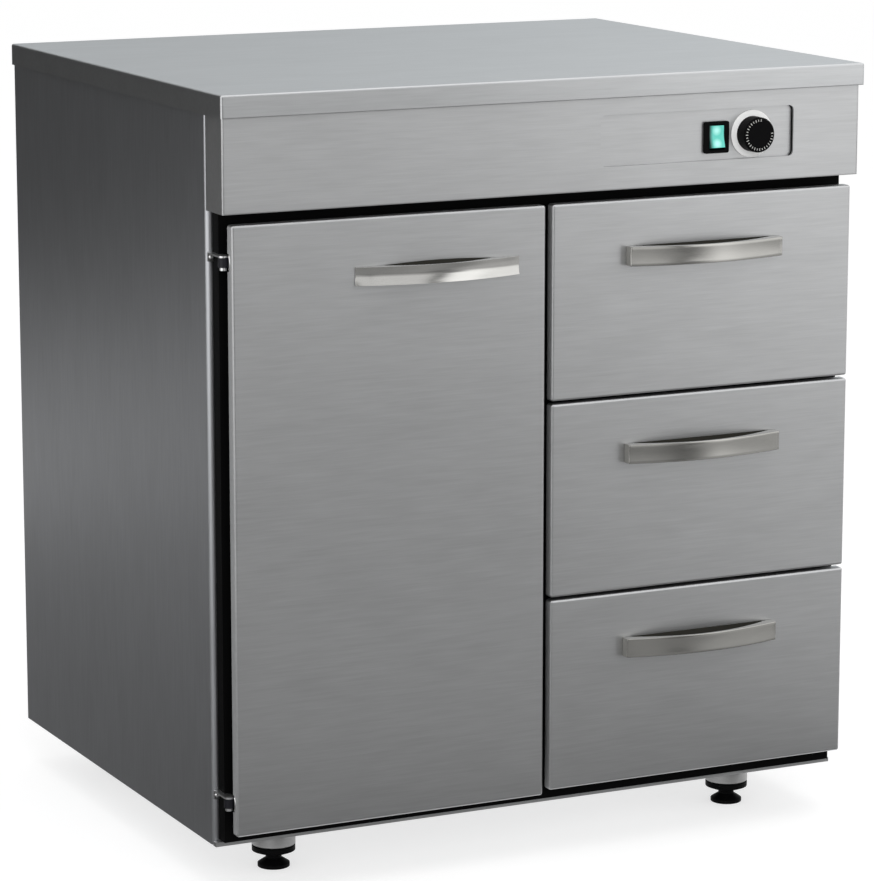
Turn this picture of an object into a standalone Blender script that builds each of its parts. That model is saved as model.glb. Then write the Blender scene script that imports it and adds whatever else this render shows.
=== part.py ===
"""Warming cabinet with one hinged door and three drawers, on four levelling feet.

Metres, +Z up, front towards -Y. The origin is on the floor, in the middle of the bounding box.
"""
import math

import bmesh
import bpy
from mathutils import Matrix, Vector

# Overall sizes
WORKTOP_WIDTH = 0.800
WORKTOP_DEPTH = 0.650
WORKTOP_EDGE = 0.025
WORKTOP_ROUND = 0.0025
WORKTOP_CORNER = 0.003
WORKTOP_HEM = 0.0012
BODY_HEIGHT = 0.840
FOOT_HEIGHT = 0.054
BODY_INSET = 0.0032
FRONT_SETBACK = 0.006
HANDLE_REACH = 0.027

# Sheet, walls and clearances
SHEET = 0.0015
WALL = 0.030
SEAT = 0.0003
RUN = 0.0005

# Layers behind the fronts
PAN_DEPTH = 0.012
GASKET_DEPTH = 0.017
FRAME_DEPTH = 0.017
FRAME_RISE = 0.018
FLANGE = 0.007
LIP_HEIGHT = 0.005
LIP_REACH = 0.008

# Fascia and control recess: heights down from the worktop's top, places in from the body's right side
FASCIA_DROP = 0.1286
RECESS_IN = 0.0873
RECESS_WIDTH = 0.2495
RECESS_TOP = 0.0442
RECESS_BOTTOM = 0.1024
RECESS_DEPTH = 0.0045
RECESS_ROUND = 0.006
DIAL_IN = 0.1398
DIAL_DROP = 0.0748
DIAL_RADIUS = 0.027
DIAL_THICK = 0.001
KNOB_BASE_RADIUS = 0.0202
KNOB_FACE_RADIUS = 0.020
KNOB_HEIGHT = 0.0165
SHAFT_RADIUS = 0.003
SWITCH_IN = 0.1871
SWITCH_DROP = 0.0765
BEZEL_WIDTH = 0.0315
BEZEL_HEIGHT = 0.036
BEZEL_THICK = 0.0035
BEZEL_RIM = 0.0028
ROCKER_WIDTH = 0.0185
ROCKER_HEIGHT = 0.027
ROCKER_SWING = 16.0
SWITCH_NECK = 0.024
THERMOSTAT_SIZE = 0.038
THERMOSTAT_DEPTH = 0.028
SOCKET_BORE = 0.006

# Fronts: the door left of the split, the drawers right of it
FRONTS_DROP = 0.1406
DOOR_IN = 0.0102
DRAWER_IN = 0.0091
SPLIT_X = -0.0038
SPLIT_GAP = 0.0086
DOOR_SILL = 0.0199
DRAWER_COUNT = 3
DRAWER_SILL = 0.0245
DRAWER_GAP = 0.0034
FRONT_ROUND = 0.0015
PAN_ROUND = 0.0028
FASCIA_ROUND = 0.0028
SIDE_ROUND = 0.006
GASKET_INSET = 0.012
GASKET_WIDTH = 0.008
WINDOW_INSET = 0.0215
PLUG_INSET = 0.024
PLUG_RISE = 0.012

# Handles: the door's handle meets the door at its ends, the drawers' have thick square ends
HANDLE_THICK = 0.004
DOOR_HANDLE_LENGTH = 0.200
DOOR_HANDLE_HEIGHT = 0.0207
DOOR_HANDLE_REACH = 0.0195
DOOR_HANDLE_END = 0.0028
DOOR_HANDLE_SCOOP = 0.003
DOOR_HANDLE_GAP_HALF = 0.070
DOOR_HANDLE_DROP = 0.0539
DOOR_HANDLE_IN = 0.1338
DRAWER_HANDLE_LENGTH = 0.1975
DRAWER_HANDLE_HEIGHT = 0.022
DRAWER_HANDLE_END = 0.012
DRAWER_HANDLE_SCOOP = 0.0004
DRAWER_HANDLE_GAP_HALF = 0.092
DRAWER_HANDLE_DROP = 0.0522
DRAWER_HANDLE_IN = 0.1917

# Door hinges
HINGE_AXIS_OUT = 0.0039
HINGE_AXIS_BEHIND = 0.015
HINGE_BELOW_TOP = 0.0334
HINGE_ABOVE_BOTTOM = 0.0441
HINGE_PLATE = 0.010
HINGE_PLATE_THICK = 0.003
EAR_THICK = 0.002
BARREL_RADIUS = 0.0055
BARREL_HEIGHT = 0.0105
PIN_RADIUS = 0.003
PIN_HEAD_RADIUS = 0.004
PIN_HEAD = 0.003
LEAF_LENGTH = 0.011
LEAF_THICK = 0.004

# Drawer boxes and runners
BOX_LENGTH = 0.500
BOX_HEADROOM = 0.0427
RUNNER_LENGTH = 0.480
RUNNER_BEHIND = 0.006
RUNNER_HEIGHT = 0.036
RUNNER_DEPTH = 0.012
BOX_LIFT = 0.012
RAIL_SHORT = 0.010
STRAP = 0.030

# Inside of the door compartment
SHELF_BAR = 0.005
SHELF_BARS = 9
LEDGE = 0.011
LEDGE_COUNT = 5
SHELF_FRONT = 0.010
SHELF_BACK = 0.050
RACK_LIFT = 0.080
RACK_DROP = 0.060
RACK_END = 0.030
TUBE_RADIUS = 0.00425
ELEMENT_SIDE = 0.040
ELEMENT_LIFT = 0.060
ELEMENT_BEND = 0.020
ELEMENT_PASSES = 4
CEILING = 0.020
GLAND_IN = 0.0968
GLAND_LIFT = 0.045
GLAND_RADIUS = 0.016
GLAND_BORE = 0.006
GLAND_DEPTH = 0.014

# Feet
FOOT_IN = 0.0998
FOOT_BEHIND_EDGE = 0.114
SOCKET_RADIUS = 0.0252
SOCKET_HEIGHT = 0.0279
SOCKET_ROUND = 0.0015
COLLAR_RADIUS = 0.025
COLLAR_HEIGHT = 0.006
NECK_RADIUS = 0.0092
PAD_RADIUS = 0.0185
PAD_HEIGHT = 0.004
STEM_RADIUS = 0.006

# Places that follow from the sizes above
HEIGHT = BODY_HEIGHT + FOOT_HEIGHT
DEPTH = WORKTOP_DEPTH + HANDLE_REACH - FRONT_SETBACK
Y_BACK = DEPTH / 2
Y_EDGE = Y_BACK - WORKTOP_DEPTH
Y_FRONT = Y_EDGE + FRONT_SETBACK
Y_PAN = Y_FRONT + PAN_DEPTH
Y_FRAME = Y_PAN + GASKET_DEPTH
Y_BODY = Y_FRAME + FRAME_DEPTH
Y_INNER_BACK = Y_BACK - WALL
BODY_HALF = WORKTOP_WIDTH / 2 - BODY_INSET
INNER_HALF = BODY_HALF - WALL
FRAME_HALF = BODY_HALF - FLANGE
Z_SHEET = HEIGHT - SHEET
Z_BODY_TOP = Z_SHEET - SEAT
Z_BASE_TOP = FOOT_HEIGHT + WALL
Z_FRONTS_TOP = HEIGHT - FRONTS_DROP
DOOR_HEIGHT = BODY_HEIGHT - FRONTS_DROP - DOOR_SILL
DRAWER_STACK = BODY_HEIGHT - FRONTS_DROP - DRAWER_SILL
DRAWER_HEIGHT = (DRAWER_STACK - (DRAWER_COUNT - 1) * DRAWER_GAP) / DRAWER_COUNT
BOX_HEIGHT = DRAWER_HEIGHT - 2 * WINDOW_INSET - BOX_LIFT - BOX_HEADROOM
Z_FASCIA = HEIGHT - FASCIA_DROP
Z_WINDOW_TOP = Z_FRONTS_TOP - WINDOW_INSET
Z_DOOR_BOTTOM = Z_FRONTS_TOP - DOOR_HEIGHT
Z_LIP = FOOT_HEIGHT + LIP_HEIGHT
Z_FRAME_BOTTOM = Z_LIP + SHEET
Z_FRAME_TOP = Z_FASCIA + FRAME_RISE
Z_CEILING_TOP = Z_WINDOW_TOP + CEILING
DOOR_LEFT = DOOR_IN - BODY_HALF
DOOR_RIGHT = SPLIT_X - SPLIT_GAP / 2
DRAWER_LEFT = SPLIT_X + SPLIT_GAP / 2
DRAWER_RIGHT = BODY_HALF - DRAWER_IN
DOOR_HANDLE_X = DOOR_RIGHT - DOOR_HANDLE_IN
DRAWER_HANDLE_X = DRAWER_LEFT + DRAWER_HANDLE_IN
HINGE_AXIS_X = DOOR_LEFT - HINGE_AXIS_OUT
HINGE_HEIGHTS = {"upper": Z_FRONTS_TOP - HINGE_BELOW_TOP, "lower": Z_DOOR_BOTTOM + HINGE_ABOVE_BOTTOM}
RECESS_RIGHT = BODY_HALF - RECESS_IN
RECESS_LEFT = RECESS_RIGHT - RECESS_WIDTH
DIAL_X = BODY_HALF - DIAL_IN
SWITCH_X = BODY_HALF - SWITCH_IN
FOOT_X = BODY_HALF - FOOT_IN
BAY_LEFT = DRAWER_LEFT + WINDOW_INSET
BAY_RIGHT = INNER_HALF
DOOR_BAY_RIGHT = DOOR_RIGHT - WINDOW_INSET
DRAWER_PITCH = DRAWER_HEIGHT + DRAWER_GAP
Y_RECESS_FLOOR = Y_FRONT + RECESS_DEPTH
Y_RUNNER = Y_BODY + RUNNER_BEHIND
BOX_SIDE_GAP = SEAT + RUNNER_DEPTH + 2 * RUN
WALLS = ((BAY_LEFT, -1, "left"), (BAY_RIGHT, 1, "right"))

STEEL = ("brushed_steel", (0.55, 0.56, 0.58), 0.32, 1.0)
INNER_STEEL = ("inner_steel", (0.50, 0.50, 0.51), 0.45, 1.0)
HANDLE_STEEL = ("handle_steel", (0.50, 0.49, 0.47), 0.30, 1.0)
BRIGHT_STEEL = ("bright_steel", (0.70, 0.70, 0.70), 0.22, 1.0)
BLACK = ("black_plastic", (0.014, 0.014, 0.015), 0.45, 0.0)
RUBBER = ("black_rubber", (0.010, 0.010, 0.010), 0.70, 0.0)
WHITE = ("white_plastic", (0.80, 0.80, 0.78), 0.40, 0.0)
GREEN = ("green_lens", (0.16, 0.66, 0.55), 0.25, 0.0)
CERAMIC = ("element_sheath", (0.18, 0.17, 0.16), 0.50, 1.0)


def clear_scene():
    for obj in list(bpy.data.objects):
        bpy.data.objects.remove(obj, do_unlink=True)


def material(spec):
    name, colour, roughness, metallic = spec
    found = bpy.data.materials.get(name)
    if found:
        return found
    made = bpy.data.materials.new(name)
    made.use_nodes = True
    shader = made.node_tree.nodes["Principled BSDF"]
    shader.inputs["Base Color"].default_value = (*colour, 1.0)
    shader.inputs["Roughness"].default_value = roughness
    shader.inputs["Metallic"].default_value = metallic
    made.diffuse_color = (*colour, 1.0)
    return made


def from_bmesh(name, bm):
    bmesh.ops.recalc_face_normals(bm, faces=bm.faces)
    mesh = bpy.data.meshes.new(name)
    bm.to_mesh(mesh)
    bm.free()
    obj = bpy.data.objects.new(name, mesh)
    bpy.context.scene.collection.objects.link(obj)
    return obj


def box(name, low, high):
    bm = bmesh.new()
    bmesh.ops.create_cube(bm, size=1.0)
    for vert in bm.verts:
        vert.co = Vector([(a + b) / 2 + c * (b - a) for a, b, c in zip(low, high, vert.co)])
    return from_bmesh(name, bm)


def rounded_outline(x0, z0, x1, z1, radius, steps=4):
    points = []
    corners = ((x1, z1, 0), (x0, z1, 90), (x0, z0, 180), (x1, z0, 270))
    for x, z, start in corners:
        cx = x - math.copysign(radius, x - (x0 + x1) / 2)
        cz = z - math.copysign(radius, z - (z0 + z1) / 2)
        for step in range(steps + 1):
            angle = math.radians(start + 90 * step / steps)
            points.append((cx + radius * math.cos(angle), cz + radius * math.sin(angle)))
    return points


def prism(name, outline, axis, start, end):
    """A flat outline pushed along one axis. The outline's two numbers are the other two axes."""
    def place(pair, along):
        values = list(pair)
        values.insert("xyz".index(axis), along)
        return values

    bm = bmesh.new()
    near = [bm.verts.new(place(pair, start)) for pair in outline]
    far = [bm.verts.new(place(pair, end)) for pair in outline]
    bm.faces.new(near)
    bm.faces.new(list(reversed(far)))
    count = len(outline)
    for index in range(count):
        after = (index + 1) % count
        bm.faces.new((near[index], far[index], far[after], near[after]))
    return from_bmesh(name, bm)


def revolve(name, profile, centre, direction, segments=24):
    """A turned solid. The profile is (radius, distance along the direction), closed on the axis."""
    turn = Vector((0, 0, 1)).rotation_difference(Vector(direction)).to_matrix().to_4x4()
    place = Matrix.Translation(centre) @ turn
    bm = bmesh.new()
    rings = []
    for radius, along in profile:
        if radius == 0:
            rings.append([bm.verts.new(place @ Vector((0, 0, along)))])
            continue
        ring = []
        for step in range(segments):
            angle = 2 * math.pi * step / segments
            point = Vector((radius * math.cos(angle), radius * math.sin(angle), along))
            ring.append(bm.verts.new(place @ point))
        rings.append(ring)
    for first, second in zip(rings, rings[1:]):
        for step in range(segments):
            after = (step + 1) % segments
            corners = []
            for ring, index in ((first, step), (first, after), (second, after), (second, step)):
                vert = ring[index % len(ring)]
                if vert not in corners:
                    corners.append(vert)
            bm.faces.new(corners)
    bmesh.ops.remove_doubles(bm, verts=bm.verts, dist=1e-7)
    return from_bmesh(name, bm)


def combine(target, tool, operation):
    """Cut the tool from the target, or join it on, and keep only the result."""
    modifier = target.modifiers.new(operation.lower(), "BOOLEAN")
    modifier.operation = operation
    modifier.solver = "EXACT"
    modifier.object = tool
    shaped = target.evaluated_get(bpy.context.evaluated_depsgraph_get())
    mesh = bpy.data.meshes.new_from_object(shaped)
    mesh.name = target.name
    target.modifiers.clear()
    target.data = mesh
    bpy.data.objects.remove(tool, do_unlink=True)
    return target


def cut(target, tool):
    return combine(target, tool, "DIFFERENCE")


def join(target, tool):
    return combine(target, tool, "UNION")


def bevel(obj, width, segments, wanted):
    """Round the edges that wanted picks by their two end points."""
    bm = bmesh.new()
    bm.from_mesh(obj.data)
    edges = [edge for edge in bm.edges if wanted(edge.verts[0].co, edge.verts[1].co)]
    bmesh.ops.bevel(bm, geom=edges, offset=width, segments=segments, profile=0.5, affect="EDGES")
    bm.to_mesh(obj.data)
    bm.free()
    return obj


def edges_at(axis, value):
    """Pick edges that lie in one plane across an axis."""
    def test(first, second):
        return abs(first[axis] - value) < 1e-6 and abs(second[axis] - value) < 1e-6
    return test


def both(first, second):
    """Pick edges that two tests pick."""
    return lambda start, end: first(start, end) and second(start, end)


def finish(obj, spec):
    obj.data.materials.clear()
    obj.data.materials.append(material(spec))
    return obj


def pivot(name, point, pieces):
    """An empty on a joint's axis that carries the pieces that move about it."""
    empty = bpy.data.objects.new(name, None)
    empty.location = point
    bpy.context.scene.collection.objects.link(empty)
    for piece in pieces:
        piece.parent = empty
        piece.matrix_parent_inverse = Matrix.Translation(point).inverted()
    return empty


def make_worktop():
    half = WORKTOP_WIDTH / 2
    outline = rounded_outline(-half, Y_EDGE, half, Y_BACK, WORKTOP_CORNER, 3)
    top = prism("worktop", outline, "z", HEIGHT - WORKTOP_EDGE, HEIGHT)
    bevel(top, WORKTOP_ROUND, 3, edges_at(2, HEIGHT))
    bevel(top, WORKTOP_HEM, 2, both(edges_at(1, Y_EDGE), edges_at(2, HEIGHT - WORKTOP_EDGE)))
    inside = box("inside", (-half + SHEET, Y_EDGE + SHEET, 0), (half - SHEET, Y_BACK - SHEET, Z_SHEET))
    finish(cut(top, inside), STEEL)


def make_fascia():
    low = (-BODY_HALF, Y_FRONT, Z_FASCIA)
    high = (BODY_HALF, Y_BODY - SEAT, Z_BODY_TOP)
    shell = box("fascia", low, high)
    for side in (-BODY_HALF, BODY_HALF):
        bevel(shell, FASCIA_ROUND, 3, both(edges_at(0, side), edges_at(1, Y_FRONT)))
    bevel(shell, FRONT_ROUND, 2, both(edges_at(1, Y_FRONT), edges_at(2, Z_FASCIA)))
    inner = BODY_HALF - SHEET
    inside_low = (-inner, Y_FRONT + SHEET, Z_FASCIA + SHEET)
    cut(shell, box("inside", inside_low, (inner, Y_BODY + WALL, Z_BODY_TOP - SHEET)))
    cut(shell, box("behind", (-inner, Y_FRAME - SEAT, 0), (inner, Y_BODY + WALL, HEIGHT)))
    recess = (RECESS_LEFT, HEIGHT - RECESS_BOTTOM, RECESS_RIGHT, HEIGHT - RECESS_TOP)
    outer = (recess[0] - SHEET, recess[1] - SHEET, recess[2] + SHEET, recess[3] + SHEET)
    dish = rounded_outline(*outer, RECESS_ROUND + SHEET)
    join(shell, prism("dish", dish, "y", Y_FRONT + SHEET / 2, Y_RECESS_FLOOR + SHEET))
    cut(shell, prism("pocket", rounded_outline(*recess, RECESS_ROUND), "y", Y_FRONT - WALL, Y_RECESS_FLOOR))
    half_x = BEZEL_WIDTH / 2 - BEZEL_RIM
    half_z = BEZEL_HEIGHT / 2 - BEZEL_RIM
    z = HEIGHT - SWITCH_DROP
    slot_low = (SWITCH_X - half_x, Y_FRONT, z - half_z)
    cut(shell, box("slot", slot_low, (SWITCH_X + half_x, Y_FRAME, z + half_z)))
    hole = ((0, -WALL), (SHAFT_RADIUS + 0.001, -WALL), (SHAFT_RADIUS + 0.001, WALL), (0, WALL))
    cut(shell, revolve("hole", hole, (DIAL_X, Y_RECESS_FLOOR, HEIGHT - DIAL_DROP), (0, 1, 0)))
    finish(shell, STEEL)


def make_walls():
    for side, name in ((-1, "side_panel_left"), (1, "side_panel_right")):
        outer, inner = side * BODY_HALF, side * INNER_HALF
        low = (min(outer, inner), Y_BODY, FOOT_HEIGHT)
        high = (max(outer, inner), Y_BACK - SHEET - SEAT, Z_BODY_TOP)
        panel = box(name, low, high)
        bevel(panel, SIDE_ROUND, 4, both(edges_at(0, outer), edges_at(1, Y_BODY)))
        finish(panel, STEEL)

    inner = INNER_HALF - SEAT
    end = Y_BACK - SHEET - SEAT
    back = box("back_panel", (-inner, Y_INNER_BACK, Z_BASE_TOP + SEAT), (inner, end, Z_BODY_TOP))
    gland = (GLAND_IN - BODY_HALF, end, Z_CEILING_TOP + GLAND_LIFT)
    pocket_radius = GLAND_RADIUS + 10 * SEAT
    floor = -GLAND_DEPTH - SHEET
    pocket = ((0, floor), (pocket_radius, floor), (pocket_radius, WALL), (0, WALL))
    cut(back, revolve("pocket", pocket, gland, (0, 1, 0)))
    hole = ((0, -2 * WALL), (GLAND_BORE, -2 * WALL), (GLAND_BORE, WALL), (0, WALL))
    cut(back, revolve("hole", hole, gland, (0, 1, 0), 16))
    finish(back, STEEL)

    nut, dome = 0.7 * GLAND_RADIUS, 0.5 * GLAND_RADIUS
    body = (
        (GLAND_BORE, 0), (GLAND_RADIUS, 0), (GLAND_RADIUS, 0.3 * GLAND_DEPTH), (nut, 0.3 * GLAND_DEPTH),
        (nut, 0.7 * GLAND_DEPTH), (dome, GLAND_DEPTH), (GLAND_BORE, GLAND_DEPTH), (GLAND_BORE, 0),
    )
    finish(revolve("cable_gland", body, (gland[0], end + floor + SEAT, gland[2]), (0, 1, 0)), BLACK)

    ahead, behind = Y_BODY - LIP_REACH, Y_BODY - SEAT
    lip = [
        (-BODY_HALF, ahead), (BODY_HALF, ahead), (BODY_HALF, behind), (inner, behind),
        (inner, end), (-inner, end), (-inner, behind), (-BODY_HALF, behind),
    ]
    base = prism("base_plate", lip, "z", FOOT_HEIGHT, Z_LIP)
    join(base, box("slab", (-inner, Y_BODY, FOOT_HEIGHT + LIP_HEIGHT / 2), (inner, end, Z_BASE_TOP)))
    finish(base, STEEL)

    deep = Y_INNER_BACK - SEAT
    low = (-inner, Y_BODY, Z_WINDOW_TOP)
    finish(box("ceiling_panel", low, (inner, deep, Z_CEILING_TOP)), INNER_STEEL)
    low = (DOOR_BAY_RIGHT, Y_BODY, Z_BASE_TOP + SEAT)
    finish(box("divider", low, (BAY_LEFT, deep, Z_WINDOW_TOP - SEAT)), INNER_STEEL)


def drawer_top(index):
    return Z_FRONTS_TOP - index * DRAWER_PITCH


def rail_height(index):
    return drawer_top(index) - DRAWER_HEIGHT + WINDOW_INSET + BOX_LIFT + BOX_HEIGHT / 2


def make_frame():
    low = (-FRAME_HALF, Y_FRAME, Z_FRAME_BOTTOM)
    frame = box("front_frame", low, (FRAME_HALF, Y_BODY - SEAT, Z_FRAME_TOP))
    windows = [(-INNER_HALF, Z_DOOR_BOTTOM + WINDOW_INSET, DOOR_BAY_RIGHT, Z_WINDOW_TOP)]
    for index in range(DRAWER_COUNT):
        top = drawer_top(index)
        windows.append((BAY_LEFT, top - DRAWER_HEIGHT + WINDOW_INSET, BAY_RIGHT, top - WINDOW_INSET))
    for x0, z0, x1, z1 in windows:
        cut(frame, box("window", (x0, Y_FRAME - WALL, z0), (x1, Y_BODY + WALL, z1)))
    finish(frame, BLACK)


def make_pan(name, x0, z0, x1, z1):
    outline = rounded_outline(x0, z0, x1, z1, PAN_ROUND, 3)
    pan = prism(name, outline, "y", Y_FRONT, Y_PAN)
    bevel(pan, 0.95 * PAN_ROUND, 3, edges_at(1, Y_FRONT))
    low = (x0 + SHEET, Y_FRONT + SHEET, z0 + SHEET)
    return cut(pan, box("inside", low, (x1 - SHEET, Y_PAN + WALL, z1 - SHEET)))


def make_gasket(name, x0, z0, x1, z1):
    low = (x0 + GASKET_INSET, Y_PAN + SEAT, z0 + GASKET_INSET)
    high = (x1 - GASKET_INSET, Y_FRAME - SEAT, z1 - GASKET_INSET)
    ring = box(name, low, high)
    inset = GASKET_WIDTH
    hole_low = (low[0] + inset, Y_FRONT, low[2] + inset)
    return finish(cut(ring, box("hole", hole_low, (high[0] - inset, Y_BODY, high[2] - inset))), RUBBER)


def make_filler(name, x0, z0, x1, z1):
    """The plate that fills a front pan from behind."""
    edge = SHEET + SEAT
    return box(name, (x0 + edge, Y_FRONT + edge, z0 + edge), (x1 - edge, Y_PAN, z1 - edge))


def make_handle(name, middle, z_top, sizes):
    """A bow handle: crescent in plan, thin in the middle, with its front face scooped along its length."""
    length, height, reach, end, gap_half, scoop = sizes
    steps = 24
    rows = 7
    half = length / 2
    bm = bmesh.new()
    rings = []
    for step in range(steps + 1):
        x = half * (2 * step / steps - 1)
        out = end + (reach - end) * (1 - (x / half) ** 2)
        gap = max(0.0, (reach - HANDLE_THICK) * (1 - (x / gap_half) ** 2))
        hollow = min(scoop, 0.75 * (out - gap))
        ring = []
        for row in range(rows):
            part = row / (rows - 1)
            y = Y_FRONT - out + hollow * math.sin(math.pi * part)
            ring.append(bm.verts.new((middle + x, y, z_top - height * part)))
        for z in (z_top - height, z_top):
            ring.append(bm.verts.new((middle + x, Y_FRONT - SEAT - gap, z)))
        rings.append(ring)
    count = len(rings[0])
    for first, second in zip(rings, rings[1:]):
        for index in range(count):
            after = (index + 1) % count
            bm.faces.new((first[index], first[after], second[after], second[index]))
    bm.faces.new(list(reversed(rings[0])))
    bm.faces.new(rings[-1])
    return finish(from_bmesh(name, bm), HANDLE_STEEL)


def hinge_notch(z_ear):
    clear = 2 * RUN
    drop = EAR_THICK + BARREL_HEIGHT + PIN_HEAD + 2 * clear
    low = (DOOR_LEFT - WALL, Y_FRONT + HINGE_AXIS_BEHIND - BARREL_RADIUS - clear, z_ear - drop)
    high = (HINGE_AXIS_X + BARREL_RADIUS + clear, Y_PAN + WALL, z_ear + 2 * clear)
    return box("notch", low, high)


def make_hinge(place, z):
    """A bracket on the body's flange with an ear, a headed pin below it, and the door's bush on the pin."""
    y = Y_FRONT + HINGE_AXIS_BEHIND
    outer = HINGE_AXIS_X - BARREL_RADIUS
    inner = -FRAME_HALF - SEAT
    arc = []
    for step in range(9):
        angle = math.radians(180 + 180 * step / 8)
        arc.append((HINGE_AXIS_X + BARREL_RADIUS * math.cos(angle), y + BARREL_RADIUS * math.sin(angle)))
    wide = HINGE_AXIS_X + BARREL_RADIUS
    foot = Y_BODY - SEAT
    neck = Y_FRAME - 2 * RUN
    outline = [(outer, foot), *arc, (wide, neck - wide + inner), (inner, neck), (inner, foot)]
    ear = prism("hinge_bracket_" + place, outline, "z", z - EAR_THICK, z)
    plate_low = (outer, foot - HINGE_PLATE_THICK, z - HINGE_PLATE)
    join(ear, box("plate", plate_low, (inner, foot, z - EAR_THICK / 2)))
    bore = PIN_RADIUS + SEAT
    drill = ((0, -WALL), (bore, -WALL), (bore, WALL), (0, WALL))
    cut(ear, revolve("bore", drill, (HINGE_AXIS_X, y, z), (0, 0, 1), 16))
    finish(ear, BRIGHT_STEEL)

    z_barrel = z - EAR_THICK - SEAT
    z_head = z_barrel - BARREL_HEIGHT - SEAT
    pin = (
        (0, z_head - PIN_HEAD), (PIN_HEAD_RADIUS, z_head - PIN_HEAD), (PIN_HEAD_RADIUS, z_head),
        (PIN_RADIUS, z_head), (PIN_RADIUS, z), (0, z),
    )
    finish(revolve("hinge_pin_" + place, pin, (HINGE_AXIS_X, y, 0), (0, 0, 1), 16), BRIGHT_STEEL)

    z_under = z_barrel - BARREL_HEIGHT
    profile = ((0, z_under), (BARREL_RADIUS, z_under), (BARREL_RADIUS, z_barrel), (0, z_barrel))
    barrel = revolve("hinge_bush_" + place, profile, (HINGE_AXIS_X, y, 0), (0, 0, 1), 16)
    leaf_high = (DOOR_LEFT + LEAF_LENGTH, Y_PAN + LEAF_THICK, z_barrel)
    join(barrel, box("leaf", (HINGE_AXIS_X, Y_PAN + SEAT, z_under), leaf_high))
    bore = ((0, 0), (PIN_RADIUS + SEAT, 0), (PIN_RADIUS + SEAT, HEIGHT), (0, HEIGHT))
    cut(barrel, revolve("bore", bore, (HINGE_AXIS_X, y, 0), (0, 0, 1), 16))
    return finish(barrel, BLACK)


def make_door():
    place = (DOOR_LEFT, Z_DOOR_BOTTOM, DOOR_RIGHT, Z_FRONTS_TOP)
    skin = make_pan("door_skin", *place)
    liner = make_filler("door_liner", *place)
    x0, z0, x1, z1 = place
    rise = Y_PAN + PLUG_RISE
    plug_low = (x0 + PLUG_INSET, Y_PAN - SHEET, z0 + PLUG_INSET)
    plug = box("plug", plug_low, (x1 - PLUG_INSET, rise, z1 - PLUG_INSET))
    bevel(plug, 0.004, 2, edges_at(1, rise))
    join(liner, plug)
    pieces = [skin, liner, make_gasket("door_gasket", *place)]
    for name, z in HINGE_HEIGHTS.items():
        cut(skin, hinge_notch(z))
        cut(liner, hinge_notch(z))
        pieces.append(make_hinge(name, z))
    finish(skin, STEEL)
    finish(liner, INNER_STEEL)
    sizes = (
        DOOR_HANDLE_LENGTH, DOOR_HANDLE_HEIGHT, DOOR_HANDLE_REACH,
        DOOR_HANDLE_END, DOOR_HANDLE_GAP_HALF, DOOR_HANDLE_SCOOP,
    )
    pieces.append(make_handle("door_handle", DOOR_HANDLE_X, Z_FRONTS_TOP - DOOR_HANDLE_DROP, sizes))
    pivot("door_axis", (HINGE_AXIS_X, Y_FRONT + HINGE_AXIS_BEHIND, 0), pieces)


def channel(side, wall, depth_from, half, z):
    """A runner's C outline, open towards the drawer."""
    depth_to = SEAT + RUNNER_DEPTH
    web, lip = depth_from + SHEET, half - SHEET
    pairs = [
        (depth_from, -half), (depth_to, -half), (depth_to, -lip), (web, -lip),
        (web, lip), (depth_to, lip), (depth_to, half), (depth_from, half),
    ]
    return [(wall - side * across, z + up) for across, up in pairs]


def make_drawer(index):
    number = index + 1
    top = drawer_top(index)
    place = (DRAWER_LEFT, top - DRAWER_HEIGHT, DRAWER_RIGHT, top)
    front = finish(make_pan(f"drawer_{number}_front", *place), STEEL)
    gasket = make_gasket(f"drawer_{number}_gasket", *place)
    middle = (DRAWER_LEFT + DRAWER_RIGHT) / 2
    sizes = (
        DRAWER_HANDLE_LENGTH, DRAWER_HANDLE_HEIGHT, HANDLE_REACH,
        DRAWER_HANDLE_END, DRAWER_HANDLE_GAP_HALF, DRAWER_HANDLE_SCOOP,
    )
    handle = make_handle(f"drawer_{number}_handle", DRAWER_HANDLE_X, top - DRAWER_HANDLE_DROP, sizes)

    tray = make_filler(f"drawer_{number}_box", *place)
    x0, x1 = BAY_LEFT + BOX_SIDE_GAP, BAY_RIGHT - BOX_SIDE_GAP
    z_rail = rail_height(index)
    z0, z1 = z_rail - BOX_HEIGHT / 2, z_rail + BOX_HEIGHT / 2
    y1 = Y_PAN + BOX_LENGTH
    tub = box("tub", (x0, Y_PAN - SHEET, z0), (x1, y1, z1))
    inner_half = RUNNER_HEIGHT / 2 - 2 * SHEET - 2 * RUN
    rail_from = SEAT + 2 * SHEET + 2 * RUN
    for wall, side, name in WALLS:
        outer_x = wall - side * rail_from
        inner_x = wall - side * (BOX_SIDE_GAP + SHEET / 2)
        rail_end = Y_RUNNER + RUNNER_LENGTH - 2 * RAIL_SHORT
        low = (min(outer_x, inner_x), Y_RUNNER, z_rail - inner_half)
        join(tub, box("rail", low, (max(outer_x, inner_x), rail_end, z_rail + inner_half)))
    join(tray, tub)
    hollow = box("hollow", (x0 + SHEET, Y_PAN + SHEET, z0 + SHEET), (x1 - SHEET, y1 - SHEET, top))
    finish(cut(tray, hollow), INNER_STEEL)
    pivot(f"drawer_{number}_axis", (middle, Y_FRONT, z_rail), [front, gasket, handle, tray])

    for wall, side, name in WALLS:
        slide = channel(side, wall, SEAT + SHEET + RUN, RUNNER_HEIGHT / 2 - SHEET - RUN, z_rail)
        end = Y_RUNNER + RUNNER_LENGTH - RAIL_SHORT
        moving = finish(prism(f"runner_{number}_{name}", slide, "y", Y_RUNNER, end), BRIGHT_STEEL)
        pivot(f"runner_{number}_{name}_axis", (wall, Y_RUNNER, z_rail), [moving])


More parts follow.
